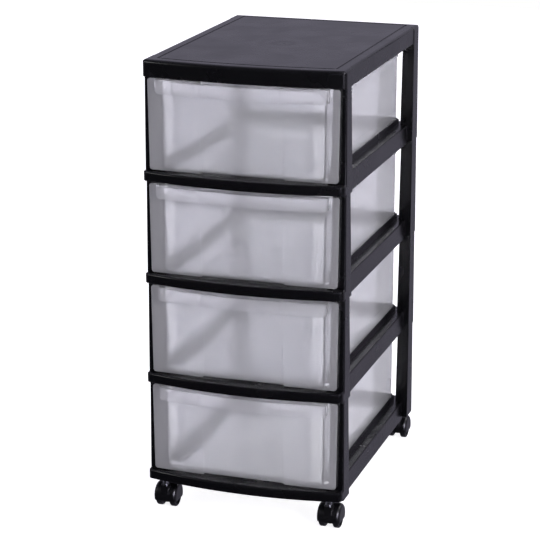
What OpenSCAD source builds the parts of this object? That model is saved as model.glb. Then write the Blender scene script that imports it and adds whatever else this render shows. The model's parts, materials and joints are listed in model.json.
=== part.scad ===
// Four-tier drawer tower on twin-wheel castors. Millimetres, +Z up, front towards -Y.
// The origin is on the floor, under the middle of the tower's whole footprint.
// Each tier is one moulded frame, a floor ring with four hollow posts. The posts' tips
// plug into the sleeves of the frame above, and the top cover closes the stack.

/* [Tower] */
// Width across the outsides of the posts
tower_w = 266; // [256:1:290]
// Depth from the front posts' front faces to the back posts' back faces
tower_d = 350; // [330:1:380]
// Height from one frame's sleeves to the next frame's
tier_h = 135; // [125:1:150]
// Wall of the frame mouldings
frame_wall = 2.2; // [1.8:0.1:2.6]

/* [Posts] */
// Width of a front post at its foot
front_post_w = 20; // [18:0.5:22]
// Depth of a front post at its foot
front_post_d = 27.5; // [25:0.5:32]
// Width of a back post at its foot
back_post_w = 19; // [18:0.5:22]
// Depth of a back post at its foot
back_post_d = 29; // [26:0.5:32]
// Width of a back post's outer part, which stands forward of its inner part
back_post_step_w = 9.4; // [8:0.2:11]
// How far the inner part of a back post is set back
back_post_step = 5; // [2:0.5:6]
// How much narrower a post is at its top
post_draft_w = 2; // [0.5:0.25:3]
// How much less deep a front post is at its top
front_draft_d = 6; // [2:0.5:7]
// How much less deep a back post is at its top
back_draft_d = 4; // [2:0.5:7]
// How much a post's outer faces lean in at its top
post_lean = 0.7; // [0.2:0.1:1]
// Radius of the posts' outer corners
post_corner_r = 2.5; // [1:0.5:4]
// Height of the tip that plugs into the sleeve above
tip_h = 10; // [6:1:14]
// Width of a tip
tip_w = 12.5; // [10:0.5:13]
// Depth of a tip
tip_d = 15; // [12:0.5:16]
// Wall of a tip
tip_wall = 1.8; // [1.2:0.1:2.4]
// Gap round a tip in its sleeve
tip_gap = 0.3; // [0.1:0.05:0.5]

/* [Side and back rails] */
// How far a side rail's outer face stands in from the posts
rail_inset = 8.5; // [7:0.5:10]
// How far the rails hang below the sleeves
rail_drop = 3.5; // [1:0.5:4]
// Height of the rails' shelf above the sleeves' lower rims
shelf_z = 20.5; // [18.5:0.5:22]
// How far the guide lip's outer face stands in from the posts
lip_inset = 22.6; // [22:0.1:24]
// Height of the guide lip above the shelf
lip_h = 8; // [4:0.5:12]
// Radius of the guide lip's top corner at the back
lip_end_r = 6; // [2:0.5:7]
// Height of the runner that carries a drawer
runner_z = 16.7; // [16:0.1:17.5]
// Width of a runner
runner_w = 14; // [8:0.5:20]
// How much further out a side rail's outer wall stands at its foot
rail_draft = 1.5; // [0:0.25:2]
// Radius of the side rails' upper outer edge
rail_top_r = 2; // [1:0.5:3]
// Space between the stiffening webs under the rails
web_pitch = 58; // [40:1:80]
// Thickness of a stiffening web
web_t = 1.6; // [1.2:0.1:2]

/* [Front rail] */
// How far the front rail stands out at its ends
rail_reach = 9; // [7:0.5:12]
// How much further it stands out at the middle
rail_bow = 15.5; // [8:0.5:18]
// Height of its lower edge above the sleeves' lower rims
rail_low_z = 2; // [1:0.5:4]
// Height of its ledge
ledge_z = 15; // [13:0.5:15.5]
// Radius of its corners, seen from above
rail_corner_r = 8; // [4:0.5:12]
// Radius of its rounded upper edge
rail_edge_r = 3; // [1:0.5:4]
// Radius of its rounded lower edge
rail_foot_r = 1.5; // [0.5:0.5:2]
// Depth of its inner wall behind the posts' front faces
rail_back = 14; // [12:0.5:18]
// How far its inner wall rises over the ledge
stop_rise = 0.8; // [0.4:0.1:1]

/* [Drawers] */
// Gap between a drawer's floor and its runners
drawer_lift = 0.3; // [0.2:0.05:0.5]
// Gap between a drawer's side and the guide lip
drawer_side_gap = 0.4; // [0.3:0.1:0.6]
// Gap behind a drawer, in front of the back lip
drawer_back_gap = 0.5; // [0.3:0.1:2]
// Wall of a drawer's box
drawer_wall = 1.8; // [1.5:0.1:2.6]
// Thickness of a drawer's floor
drawer_floor = 2.2; // [1.6:0.1:3]
// Height of a drawer's box
box_h = 101; // [80:1:108]
// Radius of the box's lower edges
box_edge_r = 8; // [4:0.5:12]
// Radius of the box's back corners
box_back_r = 6; // [3:0.5:12]
// Height of the narrower lower part of the box's sides
foot_h = 24; // [20:1:40]
// How far the lower part of the sides is set in
foot_in = 0.6; // [0.4:0.1:2]
// Where the sides' slanting step crosses their upper edge, behind the posts' front faces
side_step_y = 240; // [180:1:280]
// How much further forward the step lies at its foot
side_step_lean = 14; // [0:1:20]
// How far the sides step in behind it
side_step_in = 0.5; // [0.3:0.1:0.8]
// Width of the bead round the box's top
rim_out = 1.2; // [0.6:0.1:1.6]
// Height of the bead
rim_h = 3; // [2:0.5:5]
// How far a drawer opens before its stops meet the front rail
drawer_travel = 240; // [150:5:280]
// Distance of the stops from the middle
stop_x = 55; // [30:1:80]
// Width of a stop
stop_w = 12; // [8:1:16]
// Thickness of a stop
stop_t = 2.5; // [1.5:0.1:3]

/* [Drawer fronts] */
// How far a front's upper corners stand in from the tower's sides
front_inset = 7.5; // [5:0.5:9]
// How much narrower each side of a front is at its foot
front_taper = 1.5; // [0:0.25:3]
// Gap between a front and the posts
front_gap = 3; // [1.5:0.25:4]
// Thickness of a front
front_t = 2.8; // [2.4:0.1:3]
// Bow of a front
front_bow = 3; // [1.5:0.25:4]
// Gap between a front's lower edge and the front rail's ledge
front_low_gap = 1.8; // [1.2:0.1:3]
// Gap between a front's upper edge and the sleeves above
front_top_gap = 1; // [0.8:0.1:3]
// Radius of a front's corners
front_corner_r = 3.5; // [2:0.5:6]
// Width of the middle zone
mid_w = 114; // [90:1:130]
// Width of the slope at each side of the middle zone
mid_slope = 6; // [3:0.5:8]
// Depth of the middle zone
mid_depth = 1; // [0.4:0.1:1.2]
// Height of the notch under the middle zone
mid_notch = 2; // [1:0.25:3]
// Dip of the handle's upper edge at the middle zone
handle_dip = 1.2; // [0.5:0.1:2]

/* [Handles] */
// Height of a handle's skirt
handle_h = 18; // [14:0.5:24]
// How far a handle's ends stand in from the tower's sides
handle_inset = 20; // [17:0.5:26]
// Wall of a handle
handle_wall = 2.2; // [1.8:0.1:2.6]
// Radius of the skirt's lower corners
handle_corner_r = 4; // [2:0.5:6]
// Height of the small step that runs on beside the handle
side_pad_t = 0.7; // [0.4:0.1:1]

/* [Top cover] */
// Height of the cover's skirt
cover_h = 22; // [18:0.1:26]
// Thickness of the cover's top
cover_top_t = 2.6; // [2:0.1:3.5]
// How far the skirt stands out of the front posts at its ends
cover_reach = 4.5; // [2:0.5:8]
// How much further it stands out at the middle
cover_bow = 11.5; // [6:0.5:16]
// Radius of the rounded upper edge
cover_edge_r = 5; // [3:0.5:6]
// Radius of the cover's corners, seen from above
cover_corner_r = 6; // [4:0.5:8]
// How far the skirt is set in between the corner blocks
cover_panel_in = 0.8; // [0.3:0.1:1.2]
// Length of a corner block along the side
corner_block = 28; // [20:1:40]
// Distance of the groove from the cover's edge
groove_inset = 15; // [12:0.5:22]
// Distance of the groove from the cover's back edge
groove_back = 10; // [8:0.5:22]
// Radius of the groove's corners
groove_corner_r = 3; // [2:0.5:6]
// Width of the groove
groove_w = 2.4; // [1.5:0.1:4]
// Depth of the groove
groove_depth = 1; // [0.5:0.1:1.4]
// Height of the ribs under the top
cover_rib_h = 13; // [6:0.5:14]
// Distance of the two long ribs from the middle
cover_rib_x = 44; // [30:1:60]
// Distance of the cross rib behind the front posts' front faces
cover_rib_y = 175; // [150:1:200]

/* [Castors] */
// Height of the frame's sleeves above the floor
castor_h = 42; // [38:0.5:45]
// Distance of the castor stems from the tower's sides
castor_side = 20; // [19.5:0.5:20.5]
// Distance of the front stems behind the front posts' front faces
castor_front = 3.5; // [3.5:0.5:6]
// Distance of the back stems from the back posts' back faces
castor_back = 8; // [7:0.5:12]
// Diameter of a wheel
wheel_d = 28; // [24:0.5:28]
// Width of a wheel's tread
wheel_w = 8.2; // [7:0.1:9]
// Distance of the wheels' axis behind the stem
trail = 9; // [8:0.5:11]
// Radius of the hood round the wheels
hood_r = 16.5; // [16:0.25:17]
// Height of the hood's lower edge above the floor
hood_low_z = 10.5; // [8:0.5:11]
// Width of the web between the wheels
hood_web = 9.4; // [9:0.1:11]
// Diameter of the round neck that holds the stem
hood_neck_d = 13; // [12:0.25:15]
// Distance of the web's front edge ahead of the stem
hood_web_reach = 7; // [6.5:0.25:8]
// Wall of the hood
hood_wall = 1.5; // [1.2:0.1:1.8]
// Radius of the hood's outer edges
hood_edge_r = 5; // [3:0.5:6]
// Diameter of the stem
stem_d = 6.4; // [5.5:0.1:6.6]
// Depth of the stem's pivot in the hood
pivot_h = 19; // [12:0.5:20]
// Diameter of the stem's collar
collar_d = 8.4; // [8:0.1:10]
// Length of stem in the frame's socket
stem_grip = 17; // [12:1:18]
// Diameter of the frame's socket boss
boss_d = 9.6; // [9:0.1:9.8]
// Diameter of the wheels' axle
axle_d = 4; // [3:0.1:4.5]
// Gap between a wheel and the hood
wheel_gap = 0.6; // [0.4:0.1:0.8]
// Radial clearance of a shaft that turns in a hole
turn_gap = 0.05; // [0.02:0.01:0.08]
// Radial clearance of the axle in the hood, which holds it
held_gap = 0.02; // [0.01:0.01:0.04]

/* [Hidden] */
tiers = 4;

black = [0.05, 0.05, 0.06];
frosted = [0.80, 0.82, 0.85, 0.75];
steel = [0.75, 0.76, 0.78];

// Small overlap that makes a cut run past a face
cut = 1;
half_w = tower_w / 2;

// The front rail, the handles and the cover are bowed on circles centred on the tower's middle line.
function bow_radius(half, bow) = (half * half + bow * bow) / (2 * bow);
function arc_y(r, centre_y, x) = centre_y - sqrt(r * r - x * x);
function arc_points(x, y, r, from, to, steps) =
    [for (i = [0 : steps]) [x + r * cos(from + (to - from) * i / steps),
                            y + r * sin(from + (to - from) * i / steps)]];

rail_r = bow_radius(half_w, rail_bow);
rail_cy = rail_r - rail_reach - rail_bow;
rail_front = rail_reach + rail_bow;

lip_t = frame_wall - 0.2;
lip_top = shelf_z + lip_h;
box_half = half_w - lip_inset - lip_t - drawer_side_gap;
box_low = runner_z + drawer_lift;
box_top = box_low + box_h;
back_lip_y = tower_d - 17;
box_back = back_lip_y - drawer_back_gap;
front_low = ledge_z + front_low_gap;
front_top = tier_h - front_top_gap;
front_half = half_w - front_inset;
panel_r = bow_radius(front_half, front_bow);
panel_cy = panel_r - front_gap - front_t - front_bow;
handle_half = half_w - handle_inset;
handle_low = front_top - handle_h;

hood_top = 2 * hood_r;
hood_half = hood_web / 2 + wheel_gap + wheel_w + wheel_gap + hood_wall;
wheel_in = hood_web / 2 + wheel_gap;

// Where the front posts' front faces lie, with the whole footprint centred on the origin
back_reach = max(0, trail + hood_r - castor_back);
post_y = (rail_front - tower_d - back_reach) / 2;

module both_sides() {
    children();
    mirror([1, 0, 0]) children();
}

// A plan shape from back_y forward to an arc about (0, centre_y), with rounded front corners.
// A corner's first chord crosses the arc's end, so the two never meet in one point only.
module bowed_plan(half, r, centre_y, back_y, corner_r) {
    steps = 8;
    fx = half - corner_r;
    fy = centre_y - sqrt(pow(r - corner_r, 2) - fx * fx);
    lean = atan2(fy - centre_y, fx);
    start = lean * (1 + 0.5 / steps);
    touch_x = fx + corner_r * cos(lean);
    inner_x = fx + corner_r * cos(start);
    front_y = centre_y - r - cut;
    intersection() {
        translate([0, centre_y]) circle(r = r, $fn = 360);
        translate([-touch_x, front_y]) square([2 * touch_x, back_y - front_y]);
    }
    both_sides() polygon(concat(
        arc_points(fx, fy, corner_r, start, 0, steps),
        [[half, back_y], [inner_x, back_y]]));
}

// A block whose outer corner is at the origin, going to -X and +Y. It is smaller at the top,
// and its two outer faces lean in from the shelf up.
module drafted_block(w, d, top_w, top_d, h, lean = 0) {
    intersection() {
        translate([0, d, 0]) rotate([90, 0, 0]) linear_extrude(d)
            polygon([[0, 0], [-w, 0], [-top_w, h], [-lean, h], [0, shelf_z]]);
        translate([-w, 0, 0]) rotate([90, 0, 90]) linear_extrude(w)
            polygon([[0, 0], [d, 0], [top_d, h], [lean, h], [0, shelf_z]]);
    }
}

// What is cut away to round the upright corner of such a block
module corner_cutter(r, h) {
    translate([0, 0, -cut]) linear_extrude(h + 2 * cut) polygon(concat(
        [[-r, -cut], [cut, -cut], [cut, r]],
        arc_points(-r, r, r, 0, -90, 6)));
}

module post_corner_cutter() {
    tilt = atan(post_lean / (tier_h - shelf_z));
    corner_cutter(post_corner_r, shelf_z - cut);
    translate([0, 0, shelf_z]) rotate([-tilt, -tilt, 0]) corner_cutter(post_corner_r, tier_h - shelf_z);
}

module front_post() {
    difference() {
        drafted_block(front_post_w, front_post_d, front_post_w - post_draft_w,
            front_post_d - front_draft_d, tier_h, post_lean);
        post_corner_cutter();
    }
}

module front_post_hollow() {
    w = front_post_w - 2 * frame_wall;
    d = front_post_d - 2 * frame_wall;
    translate([-frame_wall, frame_wall, -cut])
        drafted_block(w, d, w - post_draft_w, d - front_draft_d, tier_h - frame_wall + cut);
}

// The back post is drawn with its outer corner at the origin, and is turned by its caller.
module back_post() {
    difference() {
        drafted_block(back_post_w, back_post_d, back_post_w - post_draft_w,
            back_post_d - back_draft_d, tier_h, post_lean);
        translate([-back_post_w - cut, back_post_d - back_post_step, -cut])
            cube([back_post_w - back_post_step_w + cut, back_post_step + cut, tier_h + 2 * cut]);
        post_corner_cutter();
    }
}

module back_post_hollow() {
    w = back_post_w - 2 * frame_wall;
    d = back_post_d - 2 * frame_wall;
    step_w = back_post_step_w - 2 * frame_wall;
    h = tier_h - frame_wall + cut;
    translate([-frame_wall, frame_wall, -cut]) difference() {
        drafted_block(w, d, w - post_draft_w, d - back_draft_d, h);
        translate([-w - cut, d - back_post_step, -cut])
            cube([w - step_w + cut, back_post_step + cut, h + 2 * cut]);
    }
}

// A closed cap that stands on a post and enters the sleeve above
module post_tip() {
    inset = frame_wall + tip_gap;
    translate([-inset - tip_w, inset, tier_h - frame_wall]) difference() {
        cube([tip_w, tip_d, tip_h + frame_wall]);
        translate([tip_wall, tip_wall, -cut])
            cube([tip_w - 2 * tip_wall, tip_d - 2 * tip_wall, tip_h + frame_wall - tip_wall + cut]);
    }
}

// Side rail seen from the front: outer wall, shelf, guide lip and runner, as insets from the post
module side_rail_profile() {
    x1 = -rail_inset;
    x2 = -rail_inset - frame_wall;
    x3 = -lip_inset;
    x4 = -lip_inset - lip_t;
    x5 = x4 - runner_w;
    polygon(concat(
        arc_points(x1 - rail_top_r, shelf_z - rail_top_r, rail_top_r, 90, 0, 6),
        [[x1 + rail_draft, -rail_drop], [x2 + rail_draft, -rail_drop],
         [x2, shelf_z - frame_wall], [x3, shelf_z - frame_wall],
         [x3, runner_z - frame_wall], [x5, runner_z - frame_wall], [x5, runner_z], [x4, runner_z],
         [x4, lip_top], [x3, lip_top], [x3, shelf_z]]));
}

module side_rail() {
    from = front_post_d - frame_wall;
    to = back_lip_y + lip_t;
    translate([half_w, to, 0]) rotate([90, 0, 0]) linear_extrude(to - from) side_rail_profile();
}

// Webs that stiffen the side rail's underside
module side_webs() {
    w = lip_inset - rail_inset - frame_wall;
    steps = floor((tower_d - front_post_d - back_post_d) / web_pitch);
    for (i = [1 : steps])
        translate([half_w - lip_inset, front_post_d + i * web_pitch - web_pitch / 2, 1])
            cube([w + 1, web_t, shelf_z - 1 - frame_wall / 2]);
}

// The back rail has the side rails' outer wall, shelf and lip.
module back_rail() {
    half = half_w - back_post_w + frame_wall;
    translate([-half, tower_d - frame_wall, -rail_drop]) cube([2 * half, frame_wall, shelf_z + rail_drop]);
    translate([-half, back_lip_y, shelf_z - frame_wall]) cube([2 * half, tower_d - back_lip_y, frame_wall]);
    translate([-half_w + lip_inset, back_lip_y, runner_z - frame_wall])
        cube([tower_w - 2 * lip_inset, lip_t, lip_top - runner_z + frame_wall]);
    for (x = [-1.5 : 1 : 1.5])
        translate([x * web_pitch, back_lip_y, 1])
            cube([web_t, tower_d - back_lip_y - frame_wall / 2, shelf_z - 1 - frame_wall / 2]);
}

// What rounds the side lip's top corner at the back
module lip_end_cutter() {
    r = lip_end_r;
    translate([half_w - lip_inset - lip_t - cut, back_lip_y + lip_t - r, lip_top - r])
        rotate([90, 0, 90]) linear_extrude(lip_t + 2 * cut) difference() {
            square(r + cut);
            circle(r = r, $fn = 48);
        }
}

// Section across an edge of the front rail that lies at x = 0, with the rail on its far side
module rail_edge_section(length) {
    low = rail_foot_r;
    top = rail_edge_r;
    polygon(concat(
        [[-length, rail_low_z - cut], [-low, rail_low_z - cut]],
        arc_points(-low, rail_low_z + low, low, -90, 0, 4),
        arc_points(-top, ledge_z - top, top, 0, 90, 6),
        [[-top, ledge_z + cut], [-length, ledge_z + cut]]));
}

// The front rail's outside as a full block, with its rounded upper and lower edges
module front_rail_form() {
    intersection() {
        translate([0, 0, rail_low_z]) linear_extrude(ledge_z - rail_low_z)
            bowed_plan(half_w, rail_r, rail_cy, rail_back, rail_corner_r);
        translate([half_w, rail_back + cut, 0]) rotate([90, 0, 0])
            linear_extrude(rail_back + rail_front + 2 * cut) rail_edge_section(tower_w + cut);
        mirror([1, 0, 0]) translate([half_w, rail_back + cut, 0]) rotate([90, 0, 0])
            linear_extrude(rail_back + rail_front + 2 * cut) rail_edge_section(tower_w + cut);
        translate([0, rail_cy, 0]) rotate_extrude($fn = 360)
            translate([rail_r, 0]) rail_edge_section(rail_r - cut);
    }
}

module front_rail() {
    half = half_w - front_post_w + frame_wall;
    difference() {
        front_rail_form();
        translate([0, 0, rail_low_z - cut]) linear_extrude(ledge_z - frame_wall - rail_low_z + cut)
            bowed_plan(half_w - frame_wall, rail_r - frame_wall, rail_cy, rail_back + cut,
                rail_corner_r - frame_wall);
    }
    translate([-half, rail_back - frame_wall, rail_low_z])
        cube([2 * half, frame_wall, ledge_z + stop_rise - rail_low_z]);
    for (x = [-1.5 : 1 : 1.5]) front_web(x * web_pitch);
}

// A web across the front rail's hollow underside
module front_web(x) {
    y = arc_y(rail_r, rail_cy, abs(x) + web_t) + frame_wall / 2;
    translate([x, y, rail_low_z + 2])
        cube([web_t, rail_back - frame_wall / 2 - y, ledge_z - rail_low_z - 2 - frame_wall / 2]);
}

// The stems' places, from the front posts' front faces
function stem_y(back) = back ? tower_d - castor_back : castor_front;

module castor_boss(back) {
    translate([half_w - castor_side, stem_y(back), 0]) cylinder(d = boss_d, h = stem_grip + 3, $fn = 64);
}

module castor_socket(back) {
    translate([half_w - castor_side, stem_y(back), -cut])
        cylinder(d = stem_d + 2 * turn_gap, h = stem_grip + cut + 0.5, $fn = 64);
}

// Keeps the rails' hanging edges clear of a post's top below. The outer corner is at the origin.
module post_seat_cutter(w, d) {
    translate([-w, -cut, -rail_drop - cut]) cube([w + cut, d + cut, rail_drop + cut]);
}

module tier_frame(level) {
    color(black) translate([0, post_y, castor_h + (level - 1) * tier_h]) difference() {
        union() {
            front_rail();
            back_rail();
            both_sides() {
                translate([half_w, 0, 0]) front_post();
                translate([half_w, 0, 0]) post_tip();
                translate([half_w, tower_d, 0]) mirror([0, 1, 0]) back_post();
                translate([half_w, tower_d, 0]) mirror([0, 1, 0]) post_tip();
                side_rail();
                side_webs();
                castor_boss(false);
                castor_boss(true);
            }
        }
        both_sides() {
            difference() {
                translate([half_w, 0, 0]) front_post_hollow();
                castor_boss(false);
            }
            difference() {
                translate([half_w, tower_d, 0]) mirror([0, 1, 0]) back_post_hollow();
                castor_boss(true);
            }
            translate([half_w, 0, 0]) post_seat_cutter(front_post_w, front_post_d);
            translate([half_w, tower_d, 0]) mirror([0, 1, 0]) post_seat_cutter(back_post_w, back_post_d);
            castor_socket(false);
            castor_socket(true);
            lip_end_cutter();
        }
    }
}

// ---- drawers ----

// Outline of a drawer front seen from the front, with rounded corners
module front_outline() {
    r = front_corner_r;
    low_half = front_half - front_taper;
    polygon(concat(
        arc_points(front_half - r, front_top - r, r, 0, 90, 6),
        arc_points(-front_half + r, front_top - r, r, 90, 180, 6),
        arc_points(-low_half + r, front_low + r, r, 180, 270, 6),
        arc_points(low_half - r, front_low + r, r, 270, 360, 6)));
}

module front_outline_block() {
    rotate([90, 0, 0]) linear_extrude(rail_front) front_outline();
}

// Slab between two arcs about one centre
module bowed_slab(r, centre_y, t, half, low, high) {
    translate([0, 0, low]) linear_extrude(high - low) intersection() {
        difference() {
            translate([0, centre_y]) circle(r = r, $fn = 360);
            translate([0, centre_y]) circle(r = r - t, $fn = 360);
        }
        translate([-half, centre_y - r - cut]) square([2 * half, r / 2]);
    }
}

// What is cut out of a bowed face to set its middle zone back, with a slope at each side
module mid_zone_cutter(r, centre_y, low, high) {
    y = arc_y(r, centre_y, mid_w / 2);
    run = mid_slope / mid_depth;
    ahead = 5;
    behind = 1.5 * mid_depth;
    translate([0, 0, low]) linear_extrude(high - low) difference() {
        polygon([[-mid_w / 2 - run * ahead, y - ahead], [mid_w / 2 + run * ahead, y - ahead],
                 [mid_w / 2 - run * behind, y + behind], [-mid_w / 2 + run * behind, y + behind]]);
        translate([0, centre_y]) circle(r = r - mid_depth, $fn = 360);
    }
}

module drawer_front() {
    difference() {
        intersection() {
            bowed_slab(panel_r, panel_cy, front_t, front_half + 1, front_low, front_top);
            front_outline_block();
        }
        mid_zone_cutter(panel_r, panel_cy, front_low - cut, handle_low);
        notch_cutter();
    }
    // the small step that runs on beside the handle
    intersection() {
        bowed_slab(panel_r + side_pad_t, panel_cy, side_pad_t + front_t / 2, front_half + 1,
            handle_low, front_top);
        front_outline_block();
    }
}

// The shallow notch under the middle zone
module notch_cutter() {
    w = mid_w / 2 - mid_slope / 2;
    rotate([90, 0, 0]) linear_extrude(rail_front)
        polygon([[-w - 2, front_low - cut], [w + 2, front_low - cut],
                 [w, front_low + mid_notch], [-w, front_low + mid_notch]]);
}

// The handle is a downward-open lip across the front's top, bowed like the front rail.
module handle() {
    r = handle_corner_r;
    difference() {
        intersection() {
            union() {
                bowed_slab(rail_r, rail_cy, handle_wall, handle_half, handle_low, front_top);
                translate([0, 0, front_top - handle_wall]) linear_extrude(handle_wall) handle_plan(handle_half);
                both_sides() translate([0, 0, handle_low]) linear_extrude(handle_h) difference() {
                    handle_plan(handle_half);
                    translate([-handle_half - cut, -rail_front - cut])
                        square([2 * handle_half - handle_wall + cut, rail_front + 2 * cut]);
                }
            }
            rotate([90, 0, 0]) linear_extrude(rail_front + 5) polygon(concat(
                [[handle_half, front_top], [-handle_half, front_top]],
                arc_points(-handle_half + r, handle_low + r, r, 180, 270, 6),
                arc_points(handle_half - r, handle_low + r, r, 270, 360, 6)));
        }
        mid_zone_cutter(rail_r, rail_cy, handle_low - cut, front_top + cut);
        // the finger dip in the upper edge
        rotate([90, 0, 0]) linear_extrude(rail_front + 5)
            polygon([[-mid_w / 2 - 3, front_top + cut], [mid_w / 2 + 3, front_top + cut],
                     [mid_w / 2 - mid_slope, front_top - handle_dip],
                     [-mid_w / 2 + mid_slope, front_top - handle_dip]]);
    }
}

// The handle's plan, from the front's face out to the bow
module handle_plan(half) {
    intersection() {
        translate([0, rail_cy]) circle(r = rail_r, $fn = 360);
        translate([-half, -rail_front - cut]) square([2 * half, rail_front + cut - front_gap - front_t / 2]);
    }
}

// Section of the box seen from the front: a narrower foot with rounded lower edges
module box_section(inset, low, high) {
    half = box_half - inset;
    foot = half - foot_in;
    r = box_edge_r - inset;
    polygon(concat(
        [[half, high], [-half, high], [-half, box_low + foot_h + foot_in], [-foot, box_low + foot_h]],
        arc_points(-foot + r, low + r, r, 180, 270, 8),
        arc_points(foot - r, low + r, r, 270, 360, 8),
        [[foot, box_low + foot_h], [half, box_low + foot_h + foot_in]]));
}

// Plan of the box, with round back corners
module box_plan(inset, front_y) {
    half = box_half - inset;
    back = box_back - inset;
    r = box_back_r - inset;
    polygon(concat(
        [[-half, front_y], [half, front_y]],
        arc_points(half - r, back - r, r, 0, 90, 6),
        arc_points(-half + r, back - r, r, 90, 180, 6)));
}

// What the sides lose behind their slanting step, between the foot and the bead
module side_step_cutter() {
    low = box_low + foot_h;
    high = box_top - rim_h;
    translate([box_half - side_step_in, 0, 0]) rotate([90, 0, 90]) linear_extrude(side_step_in + cut)
        polygon([[side_step_y - side_step_lean, low], [box_back + cut, low],
                 [box_back + cut, high], [side_step_y, high]]);
}

module box_solid(inset, low, high, front_y) {
    intersection() {
        translate([0, box_back + cut, 0]) rotate([90, 0, 0]) linear_extrude(box_back + rail_front)
            box_section(inset, low, high);
        translate([0, 0, low - cut]) linear_extrude(high - low + 2 * cut) box_plan(inset, front_y);
    }
}

module drawer_box() {
    front_y = -front_gap - front_t / 2;
    difference() {
        union() {
            box_solid(0, box_low, box_top, front_y);
            translate([0, 0, box_top - rim_h]) linear_extrude(rim_h) box_plan(-rim_out, -front_gap);
        }
        both_sides() side_step_cutter();
        box_solid(drawer_wall, box_low + drawer_floor, box_top + cut, -front_gap);
    }
}

// Stops under the floor, which meet the front rail's inner wall when the drawer is fully open
module drawer_stops() {
    stop_y = rail_back + drawer_travel + 1;
    low = ledge_z + stop_rise - 2.8;
    both_sides() translate([stop_x, stop_y, low])
        cube([stop_w, stop_t, box_low + drawer_floor / 2 - low]);
}

module drawer(level) {
    color(frosted) translate([0, post_y, castor_h + (level - 1) * tier_h]) {
        drawer_front();
        handle();
        drawer_box();
        drawer_stops();
    }
}

// ---- top cover ----

cover_bow_r = bow_radius(half_w, cover_bow);
cover_cy = cover_bow_r - cover_reach - cover_bow;

// The cover's outline, all round further in by inset
module cover_plan(inset) {
    bowed_plan(half_w - inset, cover_bow_r - inset, cover_cy, tower_d - inset,
        max(cover_corner_r - inset, 1.5));
}

// Section across an edge of the cover that lies at x = 0, with the cover on its far side.
// It goes on upwards past the rounded edge, so that each edge shapes only itself.
module edge_section(length) {
    r = cover_edge_r;
    polygon(concat(
        [[-length, 0], [0, 0]],
        arc_points(-r, cover_h - r, r, 0, 90, 6),
        [[-r, cover_h + cut], [-length, cover_h + cut]]));
}

// The cover's outside, with the rounded upper edge
module cover_form() {
    difference() {
        intersection() {
            linear_extrude(cover_h) cover_plan(0);
            translate([half_w, tower_d + cut, 0]) rotate([90, 0, 0])
                linear_extrude(2 * tower_d) edge_section(tower_w + cut);
            mirror([1, 0, 0]) translate([half_w, tower_d + cut, 0]) rotate([90, 0, 0])
                linear_extrude(2 * tower_d) edge_section(tower_w + cut);
            translate([-tower_w, tower_d, 0]) rotate([90, 0, 90])
                linear_extrude(2 * tower_w) edge_section(2 * tower_d);
            translate([0, cover_cy, 0]) rotate_extrude($fn = 360)
                translate([cover_bow_r, 0]) edge_section(cover_bow_r - cut);
        }
        both_sides() {
            translate([half_w, tower_d, 0]) mirror([0, 1, 0]) corner_cutter(cover_corner_r, cover_h);
            cover_side_recess();
        }
    }
}

// Between the corner blocks a side lies a little further in.
module cover_side_recess() {
    translate([half_w, tower_d - corner_block, 0]) rotate([90, 0, 0])
        linear_extrude(tower_d - 2 * corner_block) difference() {
            translate([-cover_edge_r - cover_panel_in, -cut])
                square([cover_edge_r + cover_panel_in + cut, cover_h + 2 * cut]);
            translate([-cover_panel_in, 0]) edge_section(cover_edge_r + cut);
            translate([-cover_edge_r - 2 * cut, -2 * cut])
                square([cover_edge_r + 2 * cut - cover_panel_in, 3 * cut]);
        }
}

module cover_ribs() {
    top = cover_h - cover_top_t + cut;
    low = cover_h - cover_top_t - cover_rib_h;
    both_sides() translate([cover_rib_x - web_t / 2, -cover_reach, low])
        cube([web_t, tower_d + cover_reach, top - low]);
    translate([-half_w, cover_rib_y - web_t / 2, low]) cube([tower_w, web_t, top - low]);
}

// A sleeve that stands on the post's shoulder, with a hole for the post's tip
module cover_sleeve(w, d) {
    translate([-w, 0, 0]) cube([w - cover_panel_in, d, cover_h - cover_top_t / 3]);
}

module cover_sleeve_hole() {
    inset = frame_wall;
    translate([-inset - tip_w - 2 * tip_gap, inset, -cut])
        cube([tip_w + 2 * tip_gap, tip_d + 2 * tip_gap, tip_h + 1 + cut]);
}

module cover_groove() {
    inner = groove_inset + groove_w;
    translate([0, 0, cover_h - groove_depth]) linear_extrude(groove_depth + cut) difference() {
        bowed_plan(half_w - groove_inset, cover_bow_r - groove_inset, cover_cy,
            tower_d - groove_back, groove_corner_r);
        bowed_plan(half_w - inner, cover_bow_r - inner, cover_cy,
            tower_d - groove_back - groove_w, groove_corner_r - groove_w / 2);
    }
}

module top_cover() {
    wall = frame_wall + cover_panel_in;
    color(black) translate([0, post_y, castor_h + tiers * tier_h]) difference() {
        union() {
            difference() {
                cover_form();
                translate([0, 0, -cut]) linear_extrude(cover_h - cover_top_t + cut) cover_plan(wall);
            }
            intersection() {
                union() {
                    cover_ribs();
                    both_sides() {
                        translate([half_w, 0, 0]) cover_sleeve(front_post_w, front_post_d - front_draft_d);
                        translate([half_w, tower_d, 0]) mirror([0, 1, 0])
                            cover_sleeve(back_post_w, back_post_d - back_draft_d);
                    }
                }
                linear_extrude(cover_h - cover_top_t / 2) cover_plan(wall / 2);
            }
        }
        both_sides() {
            translate([half_w, 0, 0]) cover_sleeve_hole();
            translate([half_w, tower_d, 0]) mirror([0, 1, 0]) cover_sleeve_hole();
        }
        cover_groove();
    }
}

// ---- castors: drawn with the stem on the Z axis and the wheels trailing towards +Y ----

module at_castor(left, back) {
    x = half_w - castor_side;
    translate([left ? -x : x, post_y + stem_y(back), 0]) children();
}

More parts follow.
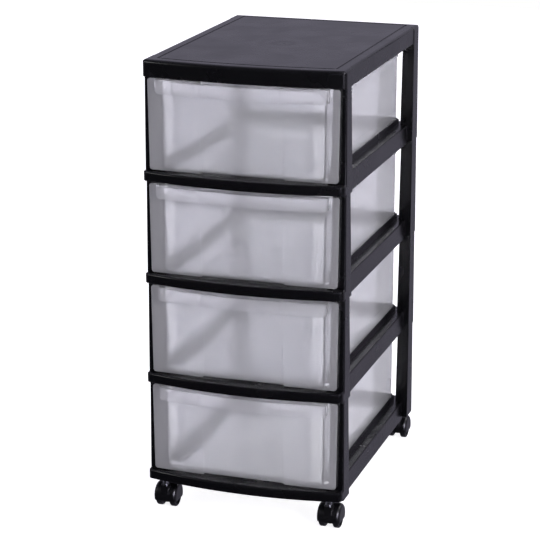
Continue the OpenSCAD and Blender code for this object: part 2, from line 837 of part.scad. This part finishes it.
// Turned steel pin: grip in the frame, collar between frame and hood, pivot in the hood
module stem() {
    pivot_low = hood_top - pivot_h;
    r = stem_d / 2;
    top = castor_h + stem_grip;
    groove = 0.6;
    color(steel) rotate_extrude($fn = 64) polygon([
        [0, pivot_low], [r - 0.5, pivot_low], [r, pivot_low + 0.5],
        [r, pivot_low + 3], [r - groove, pivot_low + 3.5], [r - groove, pivot_low + 5], [r, pivot_low + 5.5],
        [r, hood_top + 0.2], [collar_d / 2, hood_top + 0.2], [collar_d / 2, castor_h], [r, castor_h],
        [r, top - 5], [r - groove, top - 4.5], [r - groove, top - 3], [r, top - 2.5],
        [r, top - 1], [r - 1, top], [0, top]]);
}

// Turns a shape drawn about the Z axis onto the wheels' axle, along +X
module on_axle() {
    translate([0, trail, wheel_d / 2]) rotate([0, 90, 0]) children();
}

// One side of the hood: a disc with a rounded rim, turned about the axle's direction
module hood_lobe() {
    translate([0, trail, hood_r]) rotate([0, 90, 0]) rotate_extrude($fn = 96) polygon(concat(
        [[0, 0], [hood_r, 0]],
        arc_points(hood_r - hood_edge_r, hood_half - hood_edge_r, hood_edge_r, 0, 90, 6),
        [[0, hood_half]]));
}

module hood() {
    space_r = wheel_d / 2 + wheel_gap;
    color(black) difference() {
        union() {
            both_sides() hood_lobe();
            translate([-hood_web / 2, -hood_web_reach, hood_low_z])
                cube([hood_web, hood_web_reach + trail, hood_top - hood_low_z]);
            cylinder(d = hood_neck_d, h = hood_top, $fn = 64);
        }
        // room for the wheels, open below
        both_sides() {
            on_axle() translate([0, 0, hood_web / 2])
                cylinder(r = space_r, h = wheel_w + 2 * wheel_gap, $fn = 96);
            translate([hood_web / 2, trail - space_r, -cut])
                cube([wheel_w + 2 * wheel_gap, 2 * space_r, wheel_d / 2 + cut]);
        }
        translate([-2 * hood_r, -2 * hood_r, -cut]) cube([4 * hood_r, 4 * hood_r + trail, hood_low_z + cut]);
        translate([0, 0, hood_top - pivot_h - turn_gap])
            cylinder(d = stem_d + 2 * turn_gap, h = hood_top, $fn = 64);
        // bore for the axle through the web
        translate([-hood_web, 0, 0]) on_axle()
            cylinder(d = axle_d + 2 * held_gap, h = 2 * hood_web, $fn = 48);
    }
}

module axle() {
    half = hood_half - hood_wall - 0.2;
    color(steel) translate([-half, 0, 0]) on_axle() rotate_extrude($fn = 48)
        polygon([[0, 0], [axle_d / 2 - 0.4, 0], [axle_d / 2, 0.4], [axle_d / 2, 2 * half - 0.4],
                 [axle_d / 2 - 0.4, 2 * half], [0, 2 * half]]);
}

// A wheel with a rounded tread, dished faces and a hub
module wheel(side) {
    r = wheel_d / 2;
    edge = 2;
    hub_r = axle_d / 2 + 2.2;
    rim_in = r - 3.4;
    dish = 2.4;
    inner = axle_d / 2 + turn_gap;
    color([0.1, 0.1, 0.11]) mirror([side < 0 ? 1 : 0, 0, 0]) translate([wheel_in, 0, 0]) on_axle()
        rotate_extrude($fn = 96) polygon(concat(
            [[inner, 0], [hub_r, 0], [hub_r, dish], [rim_in, dish], [rim_in, 0]],
            arc_points(r - edge, edge, edge, -90, 0, 5),
            arc_points(r - edge, wheel_w - edge, edge, 0, 90, 5),
            [[rim_in, wheel_w], [rim_in, wheel_w - dish], [hub_r, wheel_w - dish],
             [hub_r, wheel_w], [inner, wheel_w]]));
}

top_cover();
tier_frame(1);  // tier_frame_1
tier_frame(2);  // tier_frame_2
tier_frame(3);  // tier_frame_3
tier_frame(4);  // tier_frame_4
drawer(1);  // drawer_1
drawer(2);  // drawer_2
drawer(3);  // drawer_3
drawer(4);  // drawer_4
at_castor(true, false) stem();  // front_left_stem
at_castor(true, false) hood();  // front_left_hood
at_castor(true, false) axle();  // front_left_axle
at_castor(true, false) wheel(-1);  // front_left_wheel_left
at_castor(true, false) wheel(1);  // front_left_wheel_right
at_castor(false, false) stem();  // front_right_stem
at_castor(false, false) hood();  // front_right_hood
at_castor(false, false) axle();  // front_right_axle
at_castor(false, false) wheel(-1);  // front_right_wheel_left
at_castor(false, false) wheel(1);  // front_right_wheel_right
at_castor(true, true) stem();  // back_left_stem
at_castor(true, true) hood();  // back_left_hood
at_castor(true, true) axle();  // back_left_axle
at_castor(true, true) wheel(-1);  // back_left_wheel_left
at_castor(true, true) wheel(1);  // back_left_wheel_right
at_castor(false, true) stem();  // back_right_stem
at_castor(false, true) hood();  // back_right_hood
at_castor(false, true) axle();  // back_right_axle
at_castor(false, true) wheel(-1);  // back_right_wheel_left
at_castor(false, true) wheel(1);  // back_right_wheel_right
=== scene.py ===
"""A plastic drawer tower: four stacked black frames, four frosted drawers, a top cover and four castors.

The CAD part gives every piece its place and size. Here each piece gets the small radii that its
mould leaves on the edges and the finish of what it is made of, in a plain pale studio.
"""
import json
import math

import bmesh
import bpy
from mathutils import Matrix, Vector


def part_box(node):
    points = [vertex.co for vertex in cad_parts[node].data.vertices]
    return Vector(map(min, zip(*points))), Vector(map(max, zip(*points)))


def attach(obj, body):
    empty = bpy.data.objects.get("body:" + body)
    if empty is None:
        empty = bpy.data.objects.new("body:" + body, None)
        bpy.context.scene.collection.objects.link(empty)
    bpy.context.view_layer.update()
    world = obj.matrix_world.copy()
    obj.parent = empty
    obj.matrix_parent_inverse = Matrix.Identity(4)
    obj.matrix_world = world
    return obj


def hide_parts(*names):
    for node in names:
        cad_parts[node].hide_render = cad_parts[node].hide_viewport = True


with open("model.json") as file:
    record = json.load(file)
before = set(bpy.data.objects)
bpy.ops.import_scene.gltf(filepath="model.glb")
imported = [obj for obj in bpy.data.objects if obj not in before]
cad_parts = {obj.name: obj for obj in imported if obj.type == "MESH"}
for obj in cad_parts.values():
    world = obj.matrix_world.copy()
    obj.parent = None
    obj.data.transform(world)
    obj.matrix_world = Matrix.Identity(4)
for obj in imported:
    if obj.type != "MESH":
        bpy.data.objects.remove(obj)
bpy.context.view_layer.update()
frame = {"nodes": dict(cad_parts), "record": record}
nodes = frame["nodes"]
body_of = {node: body for body, members in frame["record"]["behaviour"]["bodies"].items() for node in members}
MM = 0.001

# ---- The four tier frames ----
# Each is one black polypropylene moulding, a floor ring with four hollow posts. The steel mould was
# polished, so the plastic has a soft gloss, and the edges have a small radius that catches the light.

FRAME_LEVELS = (1, 2, 3, 4)
FRAME_EDGE = 0.6 * MM
EDGE_STEPS = 2
PP_BLACK = "#0b0b0d"
PP_IOR = 1.49
PP_ROUGHNESS = 0.24
PP_GLOSS_CHANGE = 0.04
MOULD_GRAIN = 0.9 * MM
SKIN_HEIGHT = 0.01 * MM
SKIN_STRENGTH = 0.2
FLOW_LENGTH = 70 * MM
NOISE_SPAN = (0.35, 0.65)
SAME_POINT = 0.001 * MM
SHARP_EDGE = math.radians(32)
STRAIGHT_ON = math.radians(145)
CREASE = math.radians(8)
FLAT_ENOUGH = math.radians(0.5)
WIDE_FACE = 4 * MM
ROOM_SHARE = 0.4
LEAST_SHARE = 0.15
BOX_SLACK = 0.02 * MM
STRAY_REACH = 5


def linear(hex_colour):
    """An sRGB hex colour as the linear RGBA that Blender's sockets take."""
    parts = [int(hex_colour[i:i + 2], 16) / 255 for i in (1, 3, 5)]
    return tuple(p / 12.92 if p <= 0.04045 else ((p + 0.055) / 1.055) ** 2.4 for p in parts) + (1.0,)


def new_material(name):
    """A material with an empty node tree."""
    mat = bpy.data.materials.new(name)
    mat.use_nodes = True
    mat.node_tree.nodes.clear()
    return mat


def add_node(tree, kind, links=(), values=(), **settings):
    """Adds a node with its attributes, its sockets' values and the links into it, and returns it."""
    node = tree.nodes.new(kind)
    for key, value in settings.items():
        setattr(node, key, value)
    for socket, value in values:
        node.inputs[socket].default_value = value
    for socket, output in links:
        tree.links.new(output, node.inputs[socket])
    return node


def room_beside(line):
    """How far the edges that turn off from line, in its two faces, reach away from it at least."""
    reaches = []
    for loop in line.link_loops:
        far = loop.link_loop_next
        for corner, side in ((loop, loop.link_loop_prev.edge), (far, far.edge)):
            if corner.calc_angle() < STRAIGHT_ON:
                reaches.append(side.calc_length() * math.sin(corner.calc_angle()))
    return min(reaches, default=WIDE_FACE)


def strays(piece, node_name):
    """The points of a finished piece that stand outside its CAD node's box."""
    low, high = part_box(node_name)
    finished = piece.evaluated_get(bpy.context.evaluated_depsgraph_get())
    points = [v.co.copy() for v in finished.to_mesh().vertices]
    finished.to_mesh_clear()
    return [p for p in points if any(p[i] < low[i] - BOX_SLACK or p[i] > high[i] + BOX_SLACK for i in range(3))]


def softened(node_name, edge, material):
    """A copy of a CAD node with its facets merged and a moulded radius on each edge, which stands for it.

    An edge gets as much of the radius as the edges beside it leave room for. Where two wide faces meet
    at a small angle, the line between them stays crisp, and so do the few lines whose radius would
    reach outside the node's box.
    """
    bm = bmesh.new()
    bm.from_mesh(nodes[node_name].data)
    bmesh.ops.remove_doubles(bm, verts=bm.verts, dist=SAME_POINT)
    bmesh.ops.dissolve_limit(bm, angle_limit=FLAT_ENOUGH, verts=bm.verts, edges=bm.edges)
    share = bm.edges.layers.float.new("bevel_weight_edge")
    for line in bm.edges:
        angle = line.calc_face_angle(0.0)
        fits = min(1.0, ROOM_SHARE * room_beside(line) / edge)
        if angle > SHARP_EDGE and fits > LEAST_SHARE:
            line[share] = fits
        elif angle > CREASE:
            line.smooth = angle < SHARP_EDGE and room_beside(line) < WIDE_FACE
    for face in bm.faces:
        face.smooth = True
    mesh = bpy.data.meshes.new("moulded_" + node_name)
    bm.to_mesh(mesh)
    bm.free()
    mesh.materials.append(material)
    piece = bpy.data.objects.new("moulded_" + node_name, mesh)
    bpy.context.scene.collection.objects.link(piece)
    radius = piece.modifiers.new("edge_radius", "BEVEL")
    radius.width = edge
    radius.segments = EDGE_STEPS
    radius.limit_method = "WEIGHT"
    radius.use_clamp_overlap = False
    shading = piece.modifiers.new("flat_faces", "WEIGHTED_NORMAL")
    shading.keep_sharp = True
    for reach in (STRAY_REACH * edge, 2 * STRAY_REACH * edge):
        outside = strays(piece, node_name)
        for line in mesh.edges:
            ends = [mesh.vertices[v].co for v in line.vertices]
            if any((end - point).length < reach for end in ends for point in outside):
                mesh.attributes["bevel_weight_edge"].data[line.index].value = 0.0
        mesh.update()
    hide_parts(node_name)
    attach(piece, body_of[node_name])


def moulded(name, colour, ior, roughness, gloss_change):
    """Moulded plastic: one colour, a fine skin, and gloss that changes along the melt's flow.

    The real skin's grain is finer and wouldn't show at this scale, so it is drawn at MOULD_GRAIN.
    """
    mat = new_material(name)
    tree = mat.node_tree
    place = add_node(tree, "ShaderNodeTexCoord").outputs["Object"]
    flow = add_node(tree, "ShaderNodeTexNoise", [("Vector", place)],
                    [("Scale", 1 / FLOW_LENGTH), ("Detail", 3.0), ("Distortion", 0.6)])
    gloss = add_node(tree, "ShaderNodeMapRange", [("Value", flow.outputs["Fac"])],
                     [("From Min", NOISE_SPAN[0]), ("From Max", NOISE_SPAN[1]),
                      ("To Min", roughness - gloss_change), ("To Max", roughness + gloss_change)])
    skin = add_node(tree, "ShaderNodeTexNoise", [("Vector", place)], [("Scale", 1 / MOULD_GRAIN), ("Detail", 2.0)])
    relief = add_node(tree, "ShaderNodeBump", [("Height", skin.outputs["Fac"])],
                      [("Strength", SKIN_STRENGTH), ("Distance", SKIN_HEIGHT)])
    shader = add_node(tree, "ShaderNodeBsdfPrincipled",
                      [("Roughness", gloss.outputs["Result"]), ("Normal", relief.outputs["Normal"])],
                      [("Base Color", linear(colour)), ("IOR", ior)])
    add_node(tree, "ShaderNodeOutputMaterial", [("Surface", shader.outputs["BSDF"])])
    return mat


black_pp = moulded("black_moulded_polypropylene", PP_BLACK, PP_IOR, PP_ROUGHNESS, PP_GLOSS_CHANGE)
for level in FRAME_LEVELS:
    softened("tier_frame_%d" % level, FRAME_EDGE, black_pp)

# ---- The top cover ----
# The same black polypropylene, as a hollow lid that closes the uppermost frame. The melt entered at a
# gate near the middle of the top, and left a small pit there with faint rings of changing gloss round it.

COVER_EDGE = 0.5 * MM
COVER_ROUGHNESS = 0.28
COVER_GLOSS_CHANGE = 0.03
DRIFT_LENGTH = 45 * MM
GATE = (3 * MM, -19.5 * MM)
GATE_R = 2.2 * MM
GATE_DEPTH = 0.35 * MM
RING_SPACING = 22 * MM
RING_REACH = 60 * MM
RING_SHARE = 0.3
RING_WAVER = 7.0
RING_SPAN = (0.3, 0.7)
WAVE_UNIT = 0.31


def gated(name, colour, ior, roughness):
    """The cover's plastic: rings of gloss round the gate, soft drifts of gloss elsewhere, and a fine skin."""
    mat = new_material(name)
    tree = mat.node_tree
    place = add_node(tree, "ShaderNodeTexCoord").outputs["Object"]
    centred = add_node(tree, "ShaderNodeMapping", [("Vector", place)],
                       [("Location", (-GATE[0], -GATE[1], 0.0))])
    drift = add_node(tree, "ShaderNodeTexNoise", [("Vector", centred.outputs["Vector"])],
                     [("Scale", 1 / DRIFT_LENGTH), ("Detail", 2.0)])
    away = add_node(tree, "ShaderNodeVectorMath", [(0, centred.outputs["Vector"])], [(1, (1.0, 1.0, 0.0))],
                    operation="MULTIPLY")
    radius = add_node(tree, "ShaderNodeVectorMath", [(0, away.outputs["Vector"])], operation="LENGTH")
    rings = add_node(tree, "ShaderNodeTexWave", [("Vector", centred.outputs["Vector"])],
                     [("Scale", WAVE_UNIT / RING_SPACING), ("Distortion", RING_WAVER), ("Detail", 2.0),
                      ("Detail Scale", 0.6)],
                     wave_type="RINGS", rings_direction="Z")
    fade = add_node(tree, "ShaderNodeMapRange", [("Value", radius.outputs["Value"])],
                    [("From Min", 0.0), ("From Max", RING_REACH), ("To Min", RING_SHARE), ("To Max", 0.0)])
    blend = add_node(tree, "ShaderNodeMix", [("Factor", fade.outputs["Result"]), ("A", drift.outputs["Fac"]),
                                             ("B", rings.outputs["Fac"])])
    gloss = add_node(tree, "ShaderNodeMapRange", [("Value", blend.outputs["Result"])],
                     [("From Min", RING_SPAN[0]), ("From Max", RING_SPAN[1]),
                      ("To Min", roughness - COVER_GLOSS_CHANGE), ("To Max", roughness + COVER_GLOSS_CHANGE)])
    skin = add_node(tree, "ShaderNodeTexNoise", [("Vector", place)], [("Scale", 1 / MOULD_GRAIN), ("Detail", 2.0)])
    relief = add_node(tree, "ShaderNodeBump", [("Height", skin.outputs["Fac"])],
                      [("Strength", SKIN_STRENGTH), ("Distance", SKIN_HEIGHT)])
    pit = add_node(tree, "ShaderNodeMapRange", [("Value", radius.outputs["Value"])],
                   [("From Min", 0.5 * GATE_R), ("From Max", GATE_R)])
    pit_relief = add_node(tree, "ShaderNodeBump",
                          [("Height", pit.outputs["Result"]), ("Normal", relief.outputs["Normal"])],
                          [("Strength", 1.0), ("Distance", GATE_DEPTH)])
    shader = add_node(tree, "ShaderNodeBsdfPrincipled",
                      [("Roughness", gloss.outputs["Result"]), ("Normal", pit_relief.outputs["Normal"])],
                      [("Base Color", linear(colour)), ("IOR", ior)])
    add_node(tree, "ShaderNodeOutputMaterial", [("Surface", shader.outputs["BSDF"])])
    return mat


gate_ringed_pp = gated("black_polypropylene_with_gate_rings", PP_BLACK, PP_IOR, COVER_ROUGHNESS)
softened("top_cover", COVER_EDGE, gate_ringed_pp)

# ---- The four drawers ----
# Natural polypropylene from a sandblasted mould. It is milky, so the light goes in and spreads, and
# what stands close behind it, such as the posts and rails, still shows as a blurred dark shape.

DRAWER_EDGE = 0.2 * MM
PP_NATURAL = "#fcfcff"
FROST_ROUGHNESS = 0.09
HAZE_CHANGE = 0.02
CLEAR_SHARE = 0.8
MILK_DEPTH = 5 * MM
FROST_GRAIN = 1.1 * MM
FROST_HEIGHT = 0.02 * MM
FROST_STRENGTH = 0.25


def frosted(name):
    """Frosted polypropylene: a milky body that lets blurred light through, with a satin skin.

    Its roughness blurs what is behind. The sandblasted grain is about a tenth of FROST_GRAIN on the real
    one and is drawn coarser, so that it shows.
    """
    mat = new_material(name)
    tree = mat.node_tree
    place = add_node(tree, "ShaderNodeTexCoord").outputs["Object"]
    cloud = add_node(tree, "ShaderNodeTexNoise", [("Vector", place)],
                     [("Scale", 1 / FLOW_LENGTH), ("Detail", 3.0), ("Distortion", 0.8)])
    haze = add_node(tree, "ShaderNodeMapRange", [("Value", cloud.outputs["Fac"])],
                    [("From Min", NOISE_SPAN[0]), ("From Max", NOISE_SPAN[1]),
                     ("To Min", FROST_ROUGHNESS - HAZE_CHANGE), ("To Max", FROST_ROUGHNESS + HAZE_CHANGE)])
    frost = add_node(tree, "ShaderNodeTexNoise", [("Vector", place)], [("Scale", 1 / FROST_GRAIN), ("Detail", 2.0)])
    relief = add_node(tree, "ShaderNodeBump", [("Height", frost.outputs["Fac"])],
                      [("Strength", FROST_STRENGTH), ("Distance", FROST_HEIGHT)])
    shader = add_node(tree, "ShaderNodeBsdfPrincipled",
                      [("Roughness", haze.outputs["Result"]), ("Normal", relief.outputs["Normal"])],
                      [("Base Color", linear(PP_NATURAL)), ("IOR", PP_IOR), ("Transmission Weight", CLEAR_SHARE),
                       ("Subsurface Weight", 1.0), ("Subsurface Radius", (1.0, 1.0, 1.0)),
                       ("Subsurface Scale", MILK_DEPTH)])
    add_node(tree, "ShaderNodeOutputMaterial", [("Surface", shader.outputs["BSDF"])])
    return mat


frosted_pp = frosted("frosted_natural_polypropylene")
for level in FRAME_LEVELS:
    softened("drawer_%d" % level, DRAWER_EDGE, frosted_pp)

# ---- The four castors ----
# Turned, zinc-plated stems and axles, hoods moulded in black nylon with a satin skin, and twin wheels
# of hard black plastic, whose treads are a little scuffed where they roll.

HOOD_EDGE = 0.3 * MM
CORNERS = ("front_left", "front_right", "back_left", "back_right")
ZINC = "#c9cbce"
ZINC_ROUGHNESS = (0.18, 0.38)
TURNING_PITCH = 0.5 * MM
TURNING_STRETCH = (0.02, 0.02, 1.0)
NYLON_BLACK = "#0d0d0f"
NYLON_IOR = 1.53
NYLON_ROUGHNESS = 0.34
NYLON_GLOSS_CHANGE = 0.04
WHEEL_BLACK = "#131315"
WHEEL_IOR = 1.5
WHEEL_ROUGHNESS = 0.46
WHEEL_SCUFF = 0.08


def turned_steel(name):
    """Zinc-plated turned steel: turning rings, drawn coarser than real ones, as bands of gloss on the pin."""
    mat = new_material(name)
    tree = mat.node_tree
    place = add_node(tree, "ShaderNodeTexCoord").outputs["Object"]
    along = add_node(tree, "ShaderNodeMapping", [("Vector", place)], [("Scale", TURNING_STRETCH)])
    lines = add_node(tree, "ShaderNodeTexNoise", [("Vector", along.outputs["Vector"])],
                     [("Scale", 1 / TURNING_PITCH), ("Detail", 1.0)])
    polish = add_node(tree, "ShaderNodeMapRange", [("Value", lines.outputs["Fac"])],
                      [("To Min", ZINC_ROUGHNESS[0]), ("To Max", ZINC_ROUGHNESS[1])])
    shader = add_node(tree, "ShaderNodeBsdfPrincipled", [("Roughness", polish.outputs["Result"])],
                      [("Base Color", linear(ZINC)), ("Metallic", 1.0)])
    add_node(tree, "ShaderNodeOutputMaterial", [("Surface", shader.outputs["BSDF"])])
    return mat


zinc_steel = turned_steel("zinc_plated_turned_steel")
nylon = moulded("black_moulded_nylon", NYLON_BLACK, NYLON_IOR, NYLON_ROUGHNESS, NYLON_GLOSS_CHANGE)
hard_wheel = moulded("scuffed_black_wheel_plastic", WHEEL_BLACK, WHEEL_IOR, WHEEL_ROUGHNESS, WHEEL_SCUFF)
for corner in CORNERS:
    softened(corner + "_hood", HOOD_EDGE, nylon)
    for piece, finish in (("stem", zinc_steel), ("axle", zinc_steel), ("wheel_left", hard_wheel),
                          ("wheel_right", hard_wheel)):
        nodes[corner + "_" + piece].data.materials.clear()
        nodes[corner + "_" + piece].data.materials.append(finish)

# ---- The studio ----
# A pale floor and backdrop, two small softboxes and one large one. The glossy plastic sees a room that is
# bright behind the tower and dim in front of it, with one window to the right that glints on corners.

FLOOR_HALF = 4.0
BACKDROP_BRIGHT = 0.42
ROOM_DIM = 0.03
FILL_LEVEL = 0.6
SKY_COOL = "#ebe6ff"
FLOOR_DIM = 0.75
ROOM_SPAN = (-0.75, 0.75)
HORIZON_SPAN = (-0.3, 0.1)
WINDOW_TOWARD = (0.66, -0.69, 0.29)
WINDOW_REACH = (math.cos(math.radians(22)), math.cos(math.radians(10)))
WINDOW_BRIGHT = 12.0
FLOOR_GLOW = 0.86
# Through the plastic the floor glows less than it does for the camera. This is painted shade for the tower's shadow
# on the floor beneath it.
FLOOR_GLOW_THROUGH_WITH_PAINTED_SHADE = 0.65
FLOOR_GREY = "#d8d8d8"
FLOOR_ROUGHNESS = 0.9
SOFTBOX_AIM = (0, 0, 0.3)
SOFTBOXES = (("left_softbox", (-1.9, -1.7, 1.5), 0.5, 6.0),
             ("right_softbox", (2.2, -1.9, 1.4), 0.7, 27.0),
             ("overhead_softbox", (1.6, 0.9, 2.2), 1.4, 24.0))


def studio_floor():
    """A floor that the camera sees as white, with a faint shadow, and that lights the tower from below. Seen through
    the plastic it glows less, which is painted shade for the tower's shadow on the floor.
    """
    bm = bmesh.new()
    bmesh.ops.create_grid(bm, x_segments=1, y_segments=1, size=FLOOR_HALF)
    mesh = bpy.data.meshes.new("studio_floor")
    bm.to_mesh(mesh)
    bm.free()
    floor = bpy.data.objects.new("studio_floor", mesh)
    bpy.context.scene.collection.objects.link(floor)
    mat = new_material("studio_white_card")
    tree = mat.node_tree
    rays = add_node(tree, "ShaderNodeLightPath")
    # The glow that transmission rays see is the lower level, as painted shade under the tower.
    through = add_node(tree, "ShaderNodeMath", [(0, rays.outputs["Is Transmission Ray"])],
                       [(1, FLOOR_GLOW_THROUGH_WITH_PAINTED_SHADE)], operation="MULTIPLY")
    glow = add_node(tree, "ShaderNodeMath", [(0, rays.outputs["Is Camera Ray"]), (2, through.outputs["Value"])],
                    [(1, FLOOR_GLOW)], operation="MULTIPLY_ADD")
    shader = add_node(tree, "ShaderNodeBsdfPrincipled", [("Emission Strength", glow.outputs["Value"])],
                      [("Base Color", linear(FLOOR_GREY)), ("Roughness", FLOOR_ROUGHNESS),
                       ("Emission Color", (1.0, 1.0, 1.0, 1.0))])
    add_node(tree, "ShaderNodeOutputMaterial", [("Surface", shader.outputs["BSDF"])])
    mesh.materials.append(mat)
    floor.visible_glossy = False


def studio_world():
    """White for the camera and through the plastic, an even cool fill, and the room that gloss sees."""
    world = bpy.data.worlds.new("studio_world")
    world.use_nodes = True
    tree = world.node_tree
    tree.nodes.clear()
    direction = add_node(tree, "ShaderNodeTexCoord")
    toward = add_node(tree, "ShaderNodeSeparateXYZ", [("Vector", direction.outputs["Generated"])])
    room = add_node(tree, "ShaderNodeMapRange", [("Value", toward.outputs["Y"])],
                    [("From Min", ROOM_SPAN[0]), ("From Max", ROOM_SPAN[1]), ("To Min", ROOM_DIM),
                     ("To Max", BACKDROP_BRIGHT)],
                    interpolation_type="SMOOTHSTEP")
    low = add_node(tree, "ShaderNodeMapRange", [("Value", toward.outputs["Z"])],
                   [("From Min", HORIZON_SPAN[0]), ("From Max", HORIZON_SPAN[1]), ("To Min", FLOOR_DIM),
                    ("To Max", 1.0)],
                   interpolation_type="SMOOTHSTEP")
    facing = add_node(tree, "ShaderNodeVectorMath", [(0, direction.outputs["Generated"])], [(1, WINDOW_TOWARD)],
                      operation="DOT_PRODUCT")
    window = add_node(tree, "ShaderNodeMapRange", [("Value", facing.outputs["Value"])],
                      [("From Min", WINDOW_REACH[0]), ("From Max", WINDOW_REACH[1]), ("To Max", WINDOW_BRIGHT)],
                      interpolation_type="SMOOTHSTEP")
    gloss = add_node(tree, "ShaderNodeMath", [(0, room.outputs["Result"]), (1, low.outputs["Result"]),
                                              (2, window.outputs["Result"])], operation="MULTIPLY_ADD")
    rays = add_node(tree, "ShaderNodeLightPath")
    white = add_node(tree, "ShaderNodeMath", [(0, rays.outputs["Is Camera Ray"]),
                                              (1, rays.outputs["Is Transmission Ray"])], operation="MAXIMUM")
    fill = add_node(tree, "ShaderNodeMix", [("Factor", rays.outputs["Is Glossy Ray"]), ("B", gloss.outputs["Value"])],
                    [("A", FILL_LEVEL)])
    strength = add_node(tree, "ShaderNodeMix", [("Factor", white.outputs["Value"]), ("A", fill.outputs["Result"])],
                        [("B", 1.0)])
    tint = add_node(tree, "ShaderNodeMix", [("Factor", white.outputs["Value"])],
                    [("A", linear(SKY_COOL)), ("B", (1.0, 1.0, 1.0, 1.0))], data_type="RGBA")
    sky = add_node(tree, "ShaderNodeBackground", [("Strength", strength.outputs["Result"]),
                                                  ("Color", tint.outputs["Result"])])
    add_node(tree, "ShaderNodeOutputWorld", [("Surface", sky.outputs["Background"])])
    bpy.context.scene.world = world


def softbox(name, place, aim, size, watts):
    """A square softbox at place that shines at aim."""
    data = bpy.data.lights.new(name, "AREA")
    data.shape = "SQUARE"
    data.size = size
    data.energy = watts
    lamp = bpy.data.objects.new(name, data)
    bpy.context.scene.collection.objects.link(lamp)
    lamp.location = place
    lamp.visible_transmission = False
    lamp.rotation_euler = (Vector(aim) - Vector(place)).to_track_quat("-Z", "Y").to_euler()


studio_floor()
studio_world()
for name, place, size, watts in SOFTBOXES:
    softbox(name, place, SOFTBOX_AIM, size, watts)

# ---- The camera ----
# It stands at the photograph's viewing angle. Its place, its angles in degrees and its lens in millimetres
# were fitted to the outline of the tower, and it has no lens shift.

CAMERA_PLACE = (0.8013, -2.4733, 1.0703)
CAMERA_TURN, CAMERA_DIP, CAMERA_ROLL = 18.439, 16.664, 0.062
CAMERA_LENS = 134.09
SENSOR_WIDTH = 36.0
cam_data = bpy.data.cameras.new("photograph_camera")
cam_data.lens = CAMERA_LENS
cam_data.sensor_width = SENSOR_WIDTH
camera = bpy.data.objects.new("photograph_camera", cam_data)
bpy.context.scene.collection.objects.link(camera)
camera.matrix_world = (Matrix.Translation(CAMERA_PLACE) @ Matrix.Rotation(math.radians(CAMERA_TURN), 4, "Z")
                       @ Matrix.Rotation(math.radians(90 - CAMERA_DIP), 4, "X")
                       @ Matrix.Rotation(math.radians(-CAMERA_ROLL), 4, "Z"))
bpy.context.scene.camera = camera
bpy.context.scene.view_settings.view_transform = "Standard"
